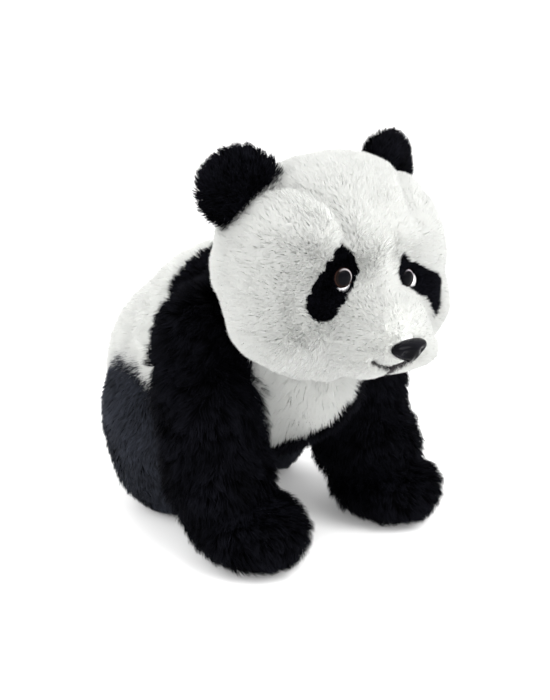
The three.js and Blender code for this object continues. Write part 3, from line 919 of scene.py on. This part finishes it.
def torso_is_black(points):
    """The shoulder band, the belly band and the flanks. The bib between them is white."""
    wave = 2.5 * ripple(points, 12, 6)
    rear = BAND_BACK + 15 * np.clip((points[:, 2] - 200) / 40, 0, 1) + wave
    front = points[:, 1] < rear
    band = front & (points[:, 1] > CHEST_BACK + wave)
    # The bib's lower edge climbs towards the panda's left foreleg.
    bib_end = np.maximum(95, 121 + 1.15 * points[:, 0] + 0.006 * points[:, 0] ** 2)
    belly = front & (points[:, 2] < bib_end + 0.5 * wave)
    flank = front & (np.abs(points[:, 0]) > CHEST_SIDE + wave)
    return band | belly | flank


def torso_comb(points, ups):
    """Fur lies down, and backwards on the back. The bib's lies outwards too."""
    flow = np.zeros_like(points)
    flow[:, 1] = np.clip((points[:, 1] + 40) / 60, 0, 1)
    flow[:, 2] = -0.8
    flow[:, 0] = 0.7 * np.clip(points[:, 0] / 40, -1, 1) * (points[:, 1] < -35)
    return flow


torso = add_skin(
    "torso_skin", "torso", [CHEST, THROAT, RUMP, BACK, SHOULDER, SHOULDER.mirrored()], 5,
    WHITE_BACKING,
    ["back_panel_left", "back_panel_right", "seat_panel", "shoulder_band", "belly_band",
     "chest_panel", "torso_fill", "rump_bean_bag"], black=torso_is_black)


def bib_length(points):
    """The bib's fur grows longer towards the forelegs and falls over their edge."""
    return 1 + 0.7 * np.clip((np.abs(points[:, 0]) - 25) / 20, 0, 1) * (points[:, 1] < -35)


def band_length(points):
    """The black band is trimmed short where it meets the white back."""
    return 1 - 0.5 * np.clip(points[:, 1] / 25, 0, 1) * (points[:, 2] > 120)


BODY_COAT = Coat(11, 0.8, 1.15, lean=(25, 62), clump=5, gather=0.2, stray=0.3, even_shade=0.92)
LONG_COAT = Coat(17, 0.8, 1.0, lean=(25, 64), clump=7, gather=0.5, uneven=0.3)
add_fur("torso_white_fur", torso, "torso", WHITE_FUR, BODY_COAT, torso_comb, 31,
        keep=lambda p: ~torso_is_black(p), scale=bib_length)
add_fur("torso_black_fur", torso, "torso", BLACK_FUR, LONG_COAT, torso_comb, 32,
        keep=torso_is_black, scale=band_length)


# ---------------------------------------------------------------- neck and closing seam
FIBRE = cloth_material(
    "fibre_wad", (0.80, 0.79, 0.75), (0.90, 0.89, 0.86), scale=220, roughness=1.0)
WHITE_THREAD = cloth_material(
    "white_thread_ply", (0.60, 0.60, 0.56), (0.78, 0.78, 0.74), scale=2600)
NATURAL_PLASTIC = plastic_material("washer_plastic", (0.62, 0.60, 0.54), (0.74, 0.72, 0.66), 0.45)
STEM_PLASTIC = plastic_material("stem_plastic", (0.004, 0.004, 0.005), (0.012, 0.012, 0.014), 0.35)


def box_corners(node):
    """Lowest and highest corner of a CAD node's box, in mm."""
    return (np.array(corner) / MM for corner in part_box(node))


def neck_shape(points):
    """A lumpy ellipsoid in the box of the neck's fill."""
    low, high = box_corners("neck_fill")
    return points * ((high - low) / 2 - 1 + ripple(points * 20, 14, 7)[:, None]) + (low + high) / 2


neck = ball_object("neck_wad", neck_shape)
neck.data.materials.append(FIBRE)
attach(neck, "neck")
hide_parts("neck_fill")

STITCHES = 12
THREAD_RADIUS = 0.8
SEAM_MIDDLE, SEAM_HEIGHT, SEAM_ARC = 85, 132, 92.5  # centre along Y and Z, and radius, of its curve


def stitch_row(points):
    """A unit sphere's points as one long thread that crosses the closed seam from side to side."""
    low, high = box_corners("closing_seam")
    height = low[2] + (high[2] - low[2]) * (points[:, 2] + 1) / 2
    up = np.clip((height - SEAM_HEIGHT) / SEAM_ARC, -1, 1)
    rear = SEAM_MIDDLE + SEAM_ARC * np.sqrt(1 - up ** 2)
    sway = 1.6 * np.sin((points[:, 2] + 1) * math.pi * STITCHES)
    across = points[:, 0] * THREAD_RADIUS + sway
    return np.stack([across, rear + points[:, 1] * THREAD_RADIUS + 0.6, height], axis=1)


seam = ball_object("closing_stitches", stitch_row)
seam.data.materials.append(WHITE_THREAD)
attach(seam, "torso")
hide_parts("closing_seam")

for node, material in (("eye_stem_left", STEM_PLASTIC), ("eye_stem_right", STEM_PLASTIC),
                       ("eye_washer_left", NATURAL_PLASTIC), ("eye_washer_right", NATURAL_PLASTIC),
                       ("nose_washer", NATURAL_PLASTIC)):
    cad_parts[node].material_slots[0].material = material


# ---------------------------------------------------------------- legs
def leg_comb(points, ups):
    """Fur lies down the leg, and forwards on the foot."""
    flow = np.zeros_like(points)
    flow[:, 2] = -1
    flow[:, 1] = -0.9 * np.clip((95 - points[:, 2]) / 60, 0, 1)
    return flow


SOLE_HEIGHT = 4  # no fur grows below this


def above_floor(points):
    return points[:, 2] > SOLE_HEIGHT


def short_below(points):
    """Fur is trimmed shorter towards the floor."""
    return 0.75 + 0.25 * np.clip((points[:, 2] - SOLE_HEIGHT) / 30, 0, 1)


def leg_nodes(limb, label):
    """The CAD nodes that one leg's skin stands for."""
    parts = ("outer_panel", "inner_panel", "sole", "fill", "bean_bag")
    return [f"{limb}_{part}_{label}" for part in parts]


VELVET = Coat(11, 0.8, 1.0, lean=(32, 70), segments=2, clump=5, gather=0.35)
for label, side in SIDES:
    arm = add_skin(f"foreleg_skin_{label}", f"foreleg_{label}", [*ARMS[label], PAWS[label]], 6,
                   BLACK_BACKING, leg_nodes("foreleg", label))
    add_fur(f"foreleg_fur_{label}", arm, f"foreleg_{label}", BLACK_FUR, LONG_COAT,
            leg_comb, 41 + side, above_floor, short_below)
    hind = add_skin(f"hind_leg_skin_{label}", f"hind_leg_{label}", [THIGHS[label], FEET[label]], 7,
                    BLACK_BACKING, leg_nodes("hind_leg", label))
    add_fur(f"hind_leg_fur_{label}", hind, f"hind_leg_{label}", HIND_FUR, VELVET,
            leg_comb, 51 + side, above_floor, short_below)

# ---------------------------------------------------------------- tail
tail = add_skin("tail_skin", "tail", [TAIL], 3, WHITE_BACKING,
                ["tail_upper_panel", "tail_lower_panel", "tail_fill"])
add_fur("tail_fur", tail, "tail", WHITE_FUR, BODY_COAT,
        lambda p, n: np.tile((0.0, 0.6, -1.0), (len(p), 1)), 61)
